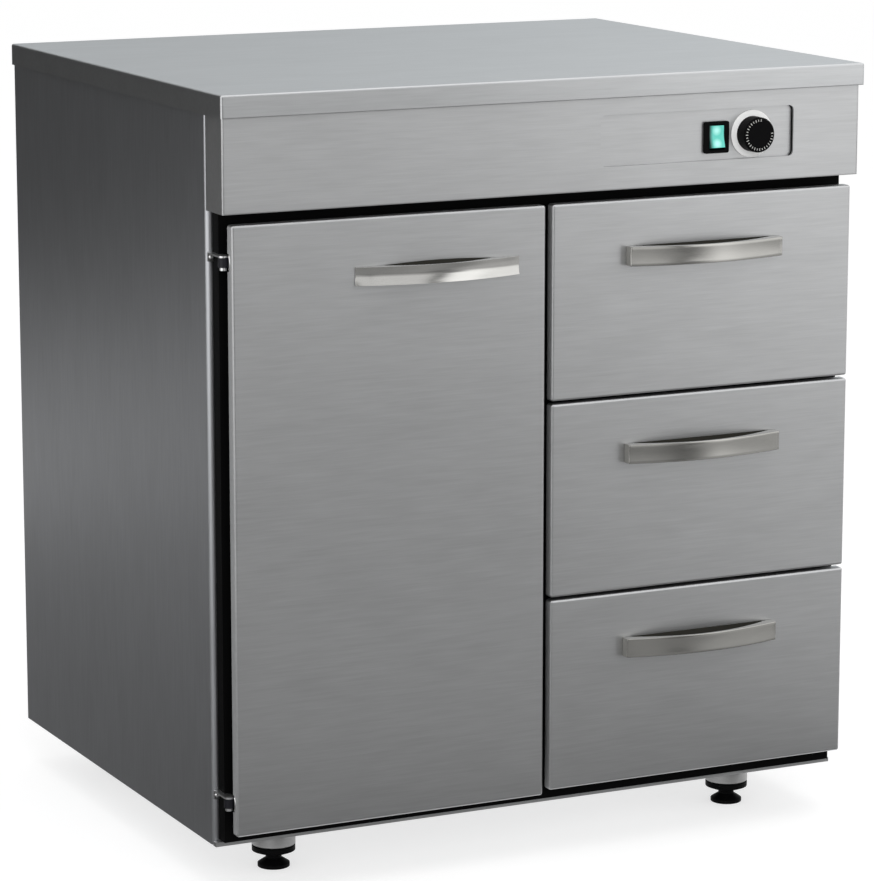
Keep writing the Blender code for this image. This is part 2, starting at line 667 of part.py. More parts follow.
def make_runner_racks():
    """On each wall of the drawer bay, the fixed channels of all drawers on two upright straps."""
    end = Y_RUNNER + RUNNER_LENGTH
    heights = [rail_height(index) for index in range(DRAWER_COUNT)]
    for wall, side, name in WALLS:
        plate = sorted((wall - side * SEAT, wall - side * (SEAT + SHEET)))
        strap_low, strap_high = heights[-1], heights[0]
        rack = None
        for z in heights:
            rail = prism("rail", channel(side, wall, SEAT, RUNNER_HEIGHT / 2, z), "y", Y_RUNNER, end)
            if rack is None:
                rack = rail
                rack.name = "runner_rack_" + name
                for y in (Y_RUNNER + STRAP, end - 2 * STRAP):
                    join(rack, box("strap", (plate[0], y, strap_low), (plate[1], y + STRAP, strap_high)))
            else:
                join(rack, rail)
        finish(rack, BRIGHT_STEEL)


def make_controls():
    z = HEIGHT - SWITCH_DROP
    face = Y_RECESS_FLOOR - SEAT
    half_x, half_z = BEZEL_WIDTH / 2, BEZEL_HEIGHT / 2
    rim = rounded_outline(SWITCH_X - half_x, z - half_z, SWITCH_X + half_x, z + half_z, 0.8 * BEZEL_RIM, 3)
    bezel = prism("switch_body", rim, "y", face - BEZEL_THICK, face)
    neck_x, neck_z = half_x - BEZEL_RIM - SEAT, half_z - BEZEL_RIM - SEAT
    end = face + SWITCH_NECK
    neck_low = (SWITCH_X - neck_x, face - BEZEL_THICK / 2, z - neck_z)
    join(bezel, box("neck", neck_low, (SWITCH_X + neck_x, end, z + neck_z)))
    well_x, well_z = ROCKER_WIDTH / 2 + RUN, ROCKER_HEIGHT / 2 + 2 * RUN
    well_low = (SWITCH_X - well_x, face - WALL, z - well_z)
    cut(bezel, box("well", well_low, (SWITCH_X + well_x, end - SWITCH_NECK / 4, z + well_z)))
    finish(bezel, BLACK)

    axle = (SWITCH_X, face + 0.002, z)
    tip = ROCKER_HEIGHT / 2
    outline = [
        (-0.48 * tip, 0.92 * tip), (-0.385 * tip, 0.3 * tip), (-0.355 * tip, 0.0), (-0.385 * tip, -0.3 * tip),
        (-0.48 * tip, -0.92 * tip), (0.07 * tip, -0.94 * tip), (0.45 * tip, -0.45 * tip),
        (0.45 * tip, 0.45 * tip), (0.07 * tip, 0.94 * tip),
    ]
    tilt = Matrix.Rotation(math.radians(-ROCKER_SWING / 2), 2)
    turned = [tilt @ Vector(pair) for pair in outline]
    shape = [(axle[1] + pair[0], z + pair[1]) for pair in turned]
    rocker = prism("switch_rocker", shape, "x", SWITCH_X - ROCKER_WIDTH / 2, SWITCH_X + ROCKER_WIDTH / 2)
    pivot("switch_axis", axle, [finish(rocker, GREEN)])

    centre = (DIAL_X, face, HEIGHT - DIAL_DROP)
    hole = SHAFT_RADIUS + 0.001
    plate = (
        (hole, 0), (DIAL_RADIUS, 0), (DIAL_RADIUS, 0.6 * DIAL_THICK),
        (DIAL_RADIUS - 0.6 * DIAL_THICK, DIAL_THICK), (hole, DIAL_THICK), (hole, 0),
    )
    finish(revolve("dial_plate", plate, centre, (0, -1, 0), 40), WHITE)
    lift = DIAL_THICK + SEAT
    top = lift + KNOB_HEIGHT
    reach = SHEET + 0.9 * SOCKET_BORE
    knob = (
        (0, -reach), (SHAFT_RADIUS, -reach), (SHAFT_RADIUS, lift), (KNOB_BASE_RADIUS, lift),
        (KNOB_BASE_RADIUS, lift + KNOB_HEIGHT / 6), (KNOB_FACE_RADIUS, top - KNOB_HEIGHT / 12),
        (0.94 * KNOB_FACE_RADIUS, top - KNOB_HEIGHT / 60), (0.86 * KNOB_FACE_RADIUS, top), (0, top),
    )
    turning = finish(revolve("thermostat_knob", knob, centre, (0, -1, 0), 40), BLACK)
    pivot("knob_axis", centre, [turning])

    seat = Y_RECESS_FLOOR + SHEET + SEAT
    half = THERMOSTAT_SIZE / 2
    far = (DIAL_X + half, seat + THERMOSTAT_DEPTH, centre[2] + half)
    thermostat = box("thermostat_body", (DIAL_X - half, seat, centre[2] - half), far)
    bore = SHAFT_RADIUS + SEAT
    socket = ((0, -WALL), (bore, -WALL), (bore, SOCKET_BORE), (0, SOCKET_BORE))
    finish(cut(thermostat, revolve("socket", socket, (DIAL_X, seat, centre[2]), (0, 1, 0))), BLACK)


def make_interior():
    y0, y1 = Y_BODY + SHELF_FRONT, Y_INNER_BACK - SHELF_BACK
    low, high = Z_BASE_TOP + RACK_LIFT, Z_WINDOW_TOP - RACK_DROP
    pitch = (high - low - 2 * RACK_END) / (LEDGE_COUNT - 1)
    levels = [low + RACK_END + pitch * index for index in range(LEDGE_COUNT)]
    for wall, side, name in ((-INNER_HALF, 1, "left"), (DOOR_BAY_RIGHT, -1, "right")):
        base, plate, tip = (wall + side * across for across in (SEAT, SEAT + SHEET, SEAT + SHEET + LEDGE))
        outline = [(base, high), (base, low), (plate, low)]
        for level in levels:
            outline += [(plate, level - SHEET), (tip, level - SHEET), (tip, level), (plate, level)]
        outline.append((plate, high))
        finish(prism("shelf_rack_" + name, outline, "y", y0, y1), INNER_STEEL)

    left = -INNER_HALF + SEAT + 2 * SHEET
    right = DOOR_BAY_RIGHT - SEAT - 2 * SHEET
    z = levels[2] + SEAT
    shelf = box("shelf", (left, y0, z), (right, y1, z + SHELF_BAR))
    hole_low = (left + SHELF_BAR, y0 + SHELF_BAR, 0)
    cut(shelf, box("inside", hole_low, (right - SHELF_BAR, y1 - SHELF_BAR, HEIGHT)))
    pitch = (right - left - SHELF_BAR) / (SHELF_BARS + 1)
    for index in range(SHELF_BARS):
        x = left + SHELF_BAR / 2 + pitch * (index + 1)
        thin = 0.4 * SHELF_BAR
        bar_low = (x - thin, y0 + SHELF_BAR / 5, z + SHELF_BAR / 10)
        join(shelf, box("bar", bar_low, (x + thin, y1 - SHELF_BAR / 5, z + 0.9 * SHELF_BAR)))
    finish(shelf, BRIGHT_STEEL)

    for name, x0, x1 in (("left", -INNER_HALF, DOOR_BAY_RIGHT), ("right", BAY_LEFT, BAY_RIGHT)):
        make_element("heating_element_" + name, x0 + ELEMENT_SIDE, x1 - ELEMENT_SIDE)


def make_element(name, left, right):
    """A bent tube that runs to and fro across the back wall."""
    y = Y_INNER_BACK - SEAT - TUBE_RADIUS
    bend = ELEMENT_BEND
    path = []
    z = Z_BASE_TOP + ELEMENT_LIFT
    for index in range(ELEMENT_PASSES):
        start, end = (left, right) if index % 2 == 0 else (right, left)
        path.append(Vector((start, y, z)))
        path.append(Vector((end, y, z)))
        if index < ELEMENT_PASSES - 1:
            outward = math.copysign(1, end - start)
            for step in range(1, 6):
                angle = math.radians(-90 + 30 * step)
                across, up = bend * math.cos(angle), bend * math.sin(angle)
                path.append(Vector((end + outward * across, y, z + bend + up)))
        z += 2 * bend
    sides = 8
    bm = bmesh.new()
    rings = []
    for index, point in enumerate(path):
        before = path[max(index - 1, 0)]
        after = path[min(index + 1, len(path) - 1)]
        along = (after - before).normalized()
        across = Vector((0, 1, 0)).cross(along).normalized()
        ring = []
        for side in range(sides):
            angle = 2 * math.pi * side / sides
            offset = Vector((0, 1, 0)) * math.cos(angle) + across * math.sin(angle)
            ring.append(bm.verts.new(point + offset * TUBE_RADIUS))
        rings.append(ring)
    for first, second in zip(rings, rings[1:]):
        for side in range(sides):
            after = (side + 1) % sides
            bm.faces.new((first[side], first[after], second[after], second[side]))
    bm.faces.new(list(reversed(rings[0])))
    bm.faces.new(rings[-1])
    finish(from_bmesh(name, bm), CERAMIC)


def make_feet():
    rows = (("front", Y_EDGE + FOOT_BEHIND_EDGE), ("rear", Y_BACK - FOOT_BEHIND_EDGE))
    for row, y in rows:
        for side, name in ((-1, "left"), (1, "right")):
            x = side * FOOT_X
            top = FOOT_HEIGHT - SEAT
            low = top - SOCKET_HEIGHT
            bore = STEM_RADIUS + RUN
            inside = top - 2 * SHEET
            cup = (
                (0, top), (SOCKET_RADIUS, top), (SOCKET_RADIUS, low + SOCKET_ROUND),
                (SOCKET_RADIUS - SOCKET_ROUND, low), (bore, low), (bore, inside), (0, inside),
            )
            finish(revolve(f"foot_socket_{row}_{name}", cup, (x, y, 0), (0, 0, 1)), BRIGHT_STEEL)
            collar = low - SEAT
            under = collar - COLLAR_HEIGHT
            rise = under - PAD_HEIGHT
            tip = inside - SHEET
            profile = (
                (0, 0), (PAD_RADIUS - SEAT, 0), (PAD_RADIUS, SEAT), (PAD_RADIUS, PAD_HEIGHT),
                (NECK_RADIUS, PAD_HEIGHT + 0.4 * rise), (NECK_RADIUS, PAD_HEIGHT + 0.6 * rise),
                (COLLAR_RADIUS, under), (COLLAR_RADIUS, collar), (STEM_RADIUS, collar), (STEM_RADIUS, tip),
                (0, tip),
            )
            foot = finish(revolve(f"foot_{row}_{name}", profile, (x, y, 0), (0, 0, 1)), BLACK)
            pivot(f"foot_{row}_{name}_axis", (x, y, 0), [foot])


def build():
    clear_scene()
    make_worktop()
    make_fascia()
    make_walls()
    make_frame()
    make_door()
    for index in range(DRAWER_COUNT):
        make_drawer(index)
    make_runner_racks()
    make_controls()
    make_interior()
    make_feet()


build()
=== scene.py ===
"""Looks for the warming cabinet: finishes, small fittings, studio light and camera."""
import math

import bmesh
import bpy
from mathutils import Matrix, Vector


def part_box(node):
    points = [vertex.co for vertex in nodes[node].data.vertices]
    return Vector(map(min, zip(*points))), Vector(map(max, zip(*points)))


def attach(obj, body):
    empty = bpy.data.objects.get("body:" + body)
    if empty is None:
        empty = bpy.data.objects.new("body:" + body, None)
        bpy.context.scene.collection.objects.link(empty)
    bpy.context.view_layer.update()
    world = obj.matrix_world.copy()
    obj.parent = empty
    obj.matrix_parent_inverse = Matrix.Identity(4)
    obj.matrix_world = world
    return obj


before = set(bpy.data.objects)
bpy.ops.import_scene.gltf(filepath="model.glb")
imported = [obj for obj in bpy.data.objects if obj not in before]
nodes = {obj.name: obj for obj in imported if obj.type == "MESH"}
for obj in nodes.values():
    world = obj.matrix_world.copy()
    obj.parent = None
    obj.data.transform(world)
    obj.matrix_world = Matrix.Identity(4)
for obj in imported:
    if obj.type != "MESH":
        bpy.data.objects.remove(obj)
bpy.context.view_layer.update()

# Camera, in the part's frame
CAMERA_PLACE = (-1.9911, -4.1049, 1.3372)
CAMERA_LOOK = (0.4294, 0.8819, -0.1947)
CAMERA_LENS = 158.92
CAMERA_SENSOR = 36.0

# Sizes that the small fittings share with the part, in metres
HEIGHT = 0.894
RECESS_IN = 0.0873
RECESS_TOP = 0.0442
RECESS_BOTTOM = 0.1024
RECESS_DEPTH = 0.0045
RECESS_ROUND = 0.006
HINGE_PLATE_THICK = 0.003

# Gap between a small fitting and the surface that carries it
FIT_GAP = 0.00005

# Brushing: waves per metre along and across it, and how much each changes the shade
FINE_LINES = (22.0, 1500.0)
STROKES = (16.0, 260.0)
CLOUDS = (9.0, 26.0)
STROKE_SHARE = 0.8
CLOUD_SHADE = 0.025
BRUSHED_ROUGHNESS_CHANGE = 0.03
BRUSHED_BUMP = (0.04, 0.0001)

# Where a normal's X says that a face is a folded side
SIDE_FROM = 0.85
SIDE_FULL = 0.97


def node(tree, kind, **settings):
    """A shader node with some of its properties set."""
    made = tree.nodes.new(kind)
    for name, value in settings.items():
        setattr(made, name, value)
    return made


def new_material(name):
    made = bpy.data.materials.new(name)
    made.use_nodes = True
    return made, made.node_tree, made.node_tree.nodes["Principled BSDF"]


def empty_material(name):
    """A material with no nodes in it yet."""
    made = bpy.data.materials.new(name)
    made.use_nodes = True
    made.node_tree.nodes.clear()
    return made, made.node_tree


def noise(tree, vector, scale, detail=3.0):
    made = node(tree, "ShaderNodeTexNoise")
    made.inputs["Scale"].default_value = scale
    made.inputs["Detail"].default_value = detail
    made.inputs["Roughness"].default_value = 0.55
    tree.links.new(vector, made.inputs["Vector"])
    return made.outputs["Fac"]


def spread(tree, value, low, high, start=0.3, end=0.7, kind="LINEAR"):
    """Map a value from one range, at first that of most noise, to another."""
    made = node(tree, "ShaderNodeMapRange", interpolation_type=kind)
    for name, number in (("From Min", start), ("From Max", end), ("To Min", low), ("To Max", high)):
        made.inputs[name].default_value = number
    tree.links.new(value, made.inputs["Value"])
    return made.outputs["Result"]


def combine(tree, operation, first, second, clamp=False):
    """The sum or the product of two values."""
    made = node(tree, "ShaderNodeMath", operation=operation, use_clamp=clamp)
    tree.links.new(first, made.inputs[0])
    tree.links.new(second, made.inputs[1])
    return made.outputs["Value"]


def size_of(tree, value):
    """A value without its sign."""
    made = node(tree, "ShaderNodeMath", operation="ABSOLUTE")
    tree.links.new(value, made.inputs[0])
    return made.outputs["Value"]


def axes_of(tree, kind):
    """The X, Y and Z of an object's own coordinates or normals."""
    coords = node(tree, "ShaderNodeTexCoord")
    parts = node(tree, "ShaderNodeSeparateXYZ")
    tree.links.new(coords.outputs[kind], parts.inputs["Vector"])
    return parts.outputs


def tint(tree, value, colour):
    """A colour times a grey value."""
    made = node(tree, "ShaderNodeMix", data_type="RGBA", blend_type="MULTIPLY")
    made.inputs["Factor"].default_value = 1.0
    made.inputs[6].default_value = (*colour, 1.0)
    tree.links.new(value, made.inputs[7])
    return made.outputs[2]


def bump(tree, shader, height, strength, distance):
    made = node(tree, "ShaderNodeBump")
    made.inputs["Strength"].default_value = strength
    made.inputs["Distance"].default_value = distance
    tree.links.new(height, made.inputs["Height"])
    tree.links.new(made.outputs["Normal"], shader.inputs["Normal"])


def stretched(tree, scale):
    """The object's coordinates, scaled along each axis."""
    coords = node(tree, "ShaderNodeTexCoord")
    mapping = node(tree, "ShaderNodeMapping")
    mapping.inputs["Scale"].default_value = scale
    tree.links.new(coords.outputs["Object"], mapping.inputs["Vector"])
    return mapping.outputs["Vector"]


def brushed_noise(tree, grain, waves, detail=3.0):
    """Noise that is drawn out along the axis of the brushing."""
    along, across = waves
    scale = [along if axis == grain else across for axis in "xyz"]
    return noise(tree, stretched(tree, scale), 1.0, detail)


def brushed_steel(name, colour, roughness, grain, contrast=0.045, dull_sides=0.0):
    """Brushed steel: fine lines along one axis, broken into strokes, over a slow cloudy change.

    The folded sides of a front, which face along X, can be duller than its face.
    """
    made, tree, shader = new_material(name)
    fine = brushed_noise(tree, grain, FINE_LINES)
    strokes = brushed_noise(tree, grain, STROKES, 2.0)
    clouds = brushed_noise(tree, grain, CLOUDS)
    shade = combine(
        tree, "MULTIPLY", spread(tree, fine, 1 - contrast, 1 + contrast),
        spread(tree, clouds, 1 - CLOUD_SHADE, 1 + CLOUD_SHADE))
    stroke_contrast = STROKE_SHARE * contrast
    shade = combine(tree, "MULTIPLY", shade, spread(tree, strokes, 1 - stroke_contrast, 1 + stroke_contrast))
    tree.links.new(tint(tree, shade, colour), shader.inputs["Base Color"])
    change = BRUSHED_ROUGHNESS_CHANGE
    rough = spread(tree, fine, roughness - change, roughness + change)
    if dull_sides:
        sideways = size_of(tree, axes_of(tree, "Normal")["X"])
        rough = combine(tree, "ADD", rough, spread(tree, sideways, 0.0, dull_sides, SIDE_FROM, SIDE_FULL))
    tree.links.new(rough, shader.inputs["Roughness"])
    shader.inputs["Metallic"].default_value = 1.0
    bump(tree, shader, fine, *BRUSHED_BUMP)
    return made


def plastic(name, colour, roughness, grain_scale=900.0, depth=0.12, gloss=0.5):
    """Moulded plastic with a fine spark-eroded grain."""
    cloud_scale = 25.0
    cloud_shade = 0.06
    smoother = 0.05
    rougher = 0.08
    bump_distance = 0.0002
    made, tree, shader = new_material(name)
    grain = noise(tree, stretched(tree, (1, 1, 1)), grain_scale)
    clouds = noise(tree, stretched(tree, (1, 1, 1)), cloud_scale)
    shade = spread(tree, clouds, 1 - cloud_shade, 1 + cloud_shade)
    tree.links.new(tint(tree, shade, colour), shader.inputs["Base Color"])
    rough = spread(tree, grain, roughness - smoother, roughness + rougher)
    tree.links.new(rough, shader.inputs["Roughness"])
    shader.inputs["Specular IOR Level"].default_value = gloss
    bump(tree, shader, grain, depth, bump_distance)
    return made


def lens(name, colour, glow, spots, painted_shade_strip):
    """The lit rocker: a clear tinted plastic with two bright places behind it, and painted shade that darkens
    its left side.
    """
    spot_strength = 0.9
    spot_radius = 0.0065
    painted_shade_left = 0.12
    rib_scale = 400.0
    rib_bump = 0.05
    bump_distance = 0.0002
    made, tree, shader = new_material(name)
    coords = node(tree, "ShaderNodeTexCoord")
    total = None
    for place in spots:
        away = node(tree, "ShaderNodeVectorMath", operation="DISTANCE")
        away.inputs[1].default_value = place
        tree.links.new(coords.outputs["Object"], away.inputs[0])
        lit = spread(tree, away.outputs["Value"], spot_strength, 0.0, 0.0, spot_radius)
        total = lit if total is None else combine(tree, "ADD", total, lit, clamp=True)
    mixed = node(tree, "ShaderNodeMix", data_type="RGBA")
    mixed.inputs[6].default_value = (*colour, 1.0)
    mixed.inputs[7].default_value = (*glow, 1.0)
    tree.links.new(total, mixed.inputs[0])
    # Painted shade: the colour darkens towards the rocker's left side
    shade = spread(tree, axes_of(tree, "Object")["X"], painted_shade_left, 1.0, *painted_shade_strip)
    shown = node(tree, "ShaderNodeMix", data_type="RGBA", blend_type="MULTIPLY")
    shown.inputs["Factor"].default_value = 1.0
    tree.links.new(mixed.outputs[2], shown.inputs[6])
    tree.links.new(shade, shown.inputs[7])
    tree.links.new(shown.outputs[2], shader.inputs["Base Color"])
    tree.links.new(shown.outputs[2], shader.inputs["Emission Color"])
    shader.inputs["Emission Strength"].default_value = 0.35
    shader.inputs["Roughness"].default_value = 0.22
    ribs = noise(tree, stretched(tree, (1, 1, 1)), rib_scale)
    bump(tree, shader, ribs, rib_bump, bump_distance)
    return made


# Finishes. Steel: name, colour, roughness, axis of the brushing, contrast, dullness of the sides.
# Plastic: name, colour, roughness, scale and depth of the grain, gloss.
STEEL = (0.51, 0.515, 0.52)
FINISH = {
    "front": brushed_steel("steel_front", STEEL, 0.40, "x"),
    "pan": brushed_steel("steel_pan", STEEL, 0.40, "x", dull_sides=0.30),
    "top": brushed_steel("steel_top", (0.492, 0.50, 0.506), 0.36, "x"),
    "side": brushed_steel("steel_side", (0.50, 0.51, 0.53), 0.36, "z"),
    "inner": brushed_steel("steel_inner", (0.46, 0.46, 0.47), 0.42, "x"),
    "handle": brushed_steel("steel_handle", (0.45, 0.444, 0.422), 0.16, "x", 0.02, 0.5),
    "bar": brushed_steel("steel_bar", (0.59, 0.585, 0.564), 0.15, "x", 0.02),
    "bright": brushed_steel("steel_bright", (0.62, 0.62, 0.61), 0.24, "z", 0.03),
    "plated": brushed_steel("steel_plated", (0.80, 0.80, 0.80), 0.30, "z", 0.03),
    "cup": brushed_steel("steel_cup", (0.30, 0.30, 0.30), 0.34, "x", 0.04),
    "sheath": brushed_steel("steel_sheath", (0.16, 0.15, 0.14), 0.5, "x", 0.12),
    "black": plastic("plastic_black", (0.0035, 0.0035, 0.0037), 0.45, gloss=0.03),
    "bush": plastic("plastic_bush", (0.010, 0.010, 0.014), 0.35, gloss=0.25),
    # Real rubber gaskets, and also the painted shade along the control recess's right wall
    "seal": plastic("rubber_seal_and_painted_shade", (0.003, 0.003, 0.003), 0.65, 500.0, 0.25, 0.03),
    # Painted shade: the dark sheets in the handles' finger gaps
    "gap": plastic("painted_shade_gap", (0.034, 0.033, 0.028), 0.65, 500.0, 0.25, 0.03),
    "white": plastic("plastic_white", (0.96, 0.96, 0.955), 0.38, 900.0, 0.05),
    "marks": plastic("paint_white", (0.62, 0.62, 0.60), 0.5, 700.0, 0.05),
}

# The rocker's two bright places, and the strip at its left over which painted shade darkens it
SPOT_RISE = 0.0075
SPOT_BEHIND = 0.002
SHADE_FROM = 0.0005
SHADE_TO = 0.0045
rocker_low, rocker_high = (Vector(corner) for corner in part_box("switch_rocker"))
rocker_middle = (rocker_low + rocker_high) / 2
SPOTS = [
    (rocker_middle.x, rocker_low.y + SPOT_BEHIND, rocker_middle.z + rise) for rise in (SPOT_RISE, -SPOT_RISE)
]
PAINTED_SHADE_STRIP = (rocker_low.x + SHADE_FROM, rocker_low.x + SHADE_TO)
FINISH["lens"] = lens("lens_green", (0.09, 0.50, 0.42), (0.50, 0.92, 0.85), SPOTS, PAINTED_SHADE_STRIP)


def finish_of(name):
    """Which finish a CAD node gets."""
    if name in ("switch_body", "thermostat_body", "thermostat_knob", "cable_gland", "front_frame"):
        return "black"
    if name == "switch_rocker":
        return "lens"
    if name == "dial_plate":
        return "white"
    if "gasket" in name:
        return "seal"
    if name == "door_handle":
        return "bar"
    if name.endswith("_handle"):
        return "handle"
    if "bush" in name:
        return "bush"
    if name.startswith("foot_socket"):
        return "cup"
    if name.startswith("foot_"):
        return "black"
    if name.startswith("heating_element"):
        return "sheath"
    if name.startswith("hinge"):
        return "plated"
    if name.startswith("runner") or name == "shelf":
        return "bright"
    if name.endswith("_box") or name in ("ceiling_panel", "divider", "door_liner") or "rack" in name:
        return "inner"
    if name.startswith("side_panel"):
        return "side"
    if name == "worktop":
        return "top"
    if name.startswith(("door_", "drawer_")):
        return "pan"
    return "front"


def geometry_group(name):
    """An empty geometry node group, with its two ends."""
    group = bpy.data.node_groups.new(name, "GeometryNodeTree")
    group.interface.new_socket("Geometry", in_out="INPUT", socket_type="NodeSocketGeometry")
    group.interface.new_socket("Geometry", in_out="OUTPUT", socket_type="NodeSocketGeometry")
    return group, node(group, "NodeGroupInput"), node(group, "NodeGroupOutput")


def chain(group, *steps):
    """Link geometry nodes one after another."""
    for before, after in zip(steps, steps[1:]):
        group.links.new(before.outputs["Geometry"], after.inputs["Geometry"])


def weld_group():
    """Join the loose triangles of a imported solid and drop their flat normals."""
    group, start, end = geometry_group("weld")
    clean = node(group, "GeometryNodeRemoveAttribute")
    clean.inputs["Name"].default_value = "custom_normal"
    weld = node(group, "GeometryNodeMergeByDistance")
    weld.inputs["Distance"].default_value = 1e-5
    chain(group, start, clean, weld, end)
    return group


def smooth_group(limit):
    """Shade faces smoothly, except across edges sharper than the limit."""
    group, start, end = geometry_group("smooth_shading")
    faces = node(group, "GeometryNodeSetShadeSmooth", domain="FACE")
    soft = node(group, "GeometryNodeSetShadeSmooth", domain="EDGE")
    edges = node(group, "GeometryNodeSetShadeSmooth", domain="EDGE")
    edges.inputs["Shade Smooth"].default_value = False
    angle = node(group, "GeometryNodeInputMeshEdgeAngle")
    sharp = node(group, "FunctionNodeCompare", data_type="FLOAT", operation="GREATER_THAN")
    sharp.inputs[1].default_value = limit
    group.links.new(angle.outputs["Unsigned Angle"], sharp.inputs[0])
    group.links.new(sharp.outputs["Result"], edges.inputs["Selection"])
    chain(group, start, faces, soft, edges, end)
    return group


WELD = weld_group()
SMOOTH = smooth_group(math.radians(35))
ROUNDED_FROM = math.radians(40)
HANDLE_EDGE = 0.0011


def shade_smooth(obj, edge=0.0):
    """Weld, round the sharp edges by a width if one is given, and shade smoothly with flat faces flat."""
    obj.modifiers.new("weld", "NODES").node_group = WELD
    if edge:
        rounding = obj.modifiers.new("edges", "BEVEL")
        rounding.width = edge
        rounding.segments = 2
        rounding.limit_method = "ANGLE"
        rounding.angle_limit = ROUNDED_FROM
    obj.modifiers.new("smooth", "NODES").node_group = SMOOTH
    weighted = obj.modifiers.new("flat", "WEIGHTED_NORMAL")
    weighted.mode = "FACE_AREA_WITH_ANGLE"
    weighted.keep_sharp = True


for name, obj in nodes.items():
    obj.data.materials.clear()
    obj.data.materials.append(FINISH[finish_of(name)])
    shade_smooth(obj, HANDLE_EDGE if name.endswith("_handle") else 0.0)


def mesh_object(name, bm, material):
    """An object in the scene, with the mesh that was built up for it."""
    mesh = bpy.data.meshes.new(name)
    bm.to_mesh(mesh)
    bm.free()
    mesh.materials.append(material)
    made = bpy.data.objects.new(name, mesh)
    bpy.context.scene.collection.objects.link(made)
    return made


def add_piece(name, bm, finish, body):
    """A visible piece that rides a body."""
    bmesh.ops.recalc_face_normals(bm, faces=bm.faces)
    obj = mesh_object(name, bm, FINISH[finish])
    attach(obj, body)
    return obj


def add_block(bm, size, place):
    """A small block with softened corners, put in place by a matrix."""
    softened = 0.2
    made = bmesh.ops.create_cube(bm, size=1.0)["verts"]
    bmesh.ops.scale(bm, verts=made, vec=size)
    edges = list({edge for vert in made for edge in vert.link_edges})
    bevelled = bmesh.ops.bevel(bm, geom=edges, offset=min(size) * softened, segments=1, affect="EDGES")
    verts = {vert for face in bevelled["faces"] for vert in face.verts}
    verts.update(vert for vert in made if vert.is_valid)
    bmesh.ops.transform(bm, matrix=place, verts=list(verts))


def add_skin(bm, rings):
    """Faces from each closed ring of points to the next, and one over each end."""
    for first, second in zip(rings, rings[1:]):
        count = len(first)
        for index in range(count):
            after = (index + 1) % count
            bm.faces.new((first[index], first[after], second[after], second[index]))
    bm.faces.new(rings[0])
    bm.faces.new(list(reversed(rings[-1])))


def add_lathe(bm, profile, place, segments=18):
    """A turned form. The profile is (radius, height) from the middle of its foot to that of its top."""
    rings = []
    for radius, height in profile:
        if radius == 0:
            rings.append([bm.verts.new(place @ Vector((0, 0, height)))])
            continue
        ring = []
        for step in range(segments):
            angle = 2 * math.pi * step / segments
            spot = Vector((radius * math.cos(angle), radius * math.sin(angle), height))
            ring.append(bm.verts.new(place @ spot))
        rings.append(ring)
    for first, second in zip(rings, rings[1:]):
        for step in range(segments):
            corners = []
            for ring, index in ((first, step), (first, step + 1), (second, step + 1), (second, step)):
                vert = ring[index % len(ring)]
                if vert not in corners:
                    corners.append(vert)
            bm.faces.new(corners)


# A domed screw head with a round driver socket, as shares of its radius and height
SCREW_SHAPE = (
    (0, 0), (1, 0), (1, 0.25), (0.88, 0.62), (0.66, 0.9),
    (0.46, 1), (0.40, 0.96), (0.36, 0.45), (0, 0.45),
)


def screw_profile(radius, height):
    return [(across * radius, up * height) for across, up in SCREW_SHAPE]


def facing(point, direction):
    """A matrix that stands a form on a point, pointing in a direction."""
    turn = Vector((0, 0, 1)).rotation_difference(Vector(direction))
    return Matrix.Translation(point) @ turn.to_matrix().to_4x4()


def add_knob_marks():
    """Short painted dashes round the knob's face, from one o'clock anticlockwise to three o'clock."""
    count = 25
    first_angle = 84
    sweep = 281
    radius = 0.0165
    long_dash = 0.0030
    short_dash = 0.0022
    thick = 0.00012
    wide = 0.0007
    proud = 0.00002
    low, high = (Vector(corner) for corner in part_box("thermostat_knob"))
    centre = Vector(((low.x + high.x) / 2, low.y - proud, (low.z + high.z) / 2))
    bm = bmesh.new()
    for index in range(count):
        angle = math.radians(first_angle + sweep * index / (count - 1))
        length = long_dash if index % 2 == 0 else short_dash
        turn = Matrix.Rotation(-angle, 4, "Y")
        place = Matrix.Translation(centre) @ turn @ Matrix.Translation((radius, 0, 0))
        add_block(bm, (length, thick, wide), place)
    add_piece("knob_marks", bm, "marks", "knob")


def add_hinge_screws():
    """One screw in each hinge bracket's plate."""
    inset = 0.0030
    below_top = 0.0052
    profile = screw_profile(0.0027, 0.0021)
    for place in ("upper", "lower"):
        low, high = (Vector(corner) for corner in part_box("hinge_bracket_" + place))
        bm = bmesh.new()
        spot = (low.x + inset, high.y - HINGE_PLATE_THICK - FIT_GAP, high.z - below_top)
        add_lathe(bm, profile, facing(spot, (0, -1, 0)))
        shade_smooth(add_piece("hinge_screw_" + place, bm, "plated", "cabinet"))


def add_hinge_rims():
    """A half-round bead on the door's side, bowed round the front of each hinge's notch."""
    bead = 0.0010
    sunk = 0.0001
    half = 0.0072
    bow = 0.0026
    clear = 0.0018
    steps = 14
    facets = 8
    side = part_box("door_skin")[0][0]
    for place in ("upper", "lower"):
        low, high = (Vector(corner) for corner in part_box("hinge_bush_" + place))
        middle = (low.z + high.z) / 2
        bm = bmesh.new()
        rings = []
        for step in range(steps + 1):
            share = 2 * step / steps - 1
            y = low.y - clear - bow * (1 - share ** 2)
            z = middle + half * share
            out = Vector((0, -half, bow * 2 * share)).normalized()
            ring = []
            for facet in range(facets + 1):
                angle = math.pi * facet / facets
                across = bead * math.cos(angle)
                x = side + sunk - bead * math.sin(angle)
                ring.append(bm.verts.new((x, y + across * out.y, z + across * out.z)))
            rings.append(ring)
        add_skin(bm, rings)
        shade_smooth(add_piece("hinge_rim_" + place, bm, "plated", "door"))


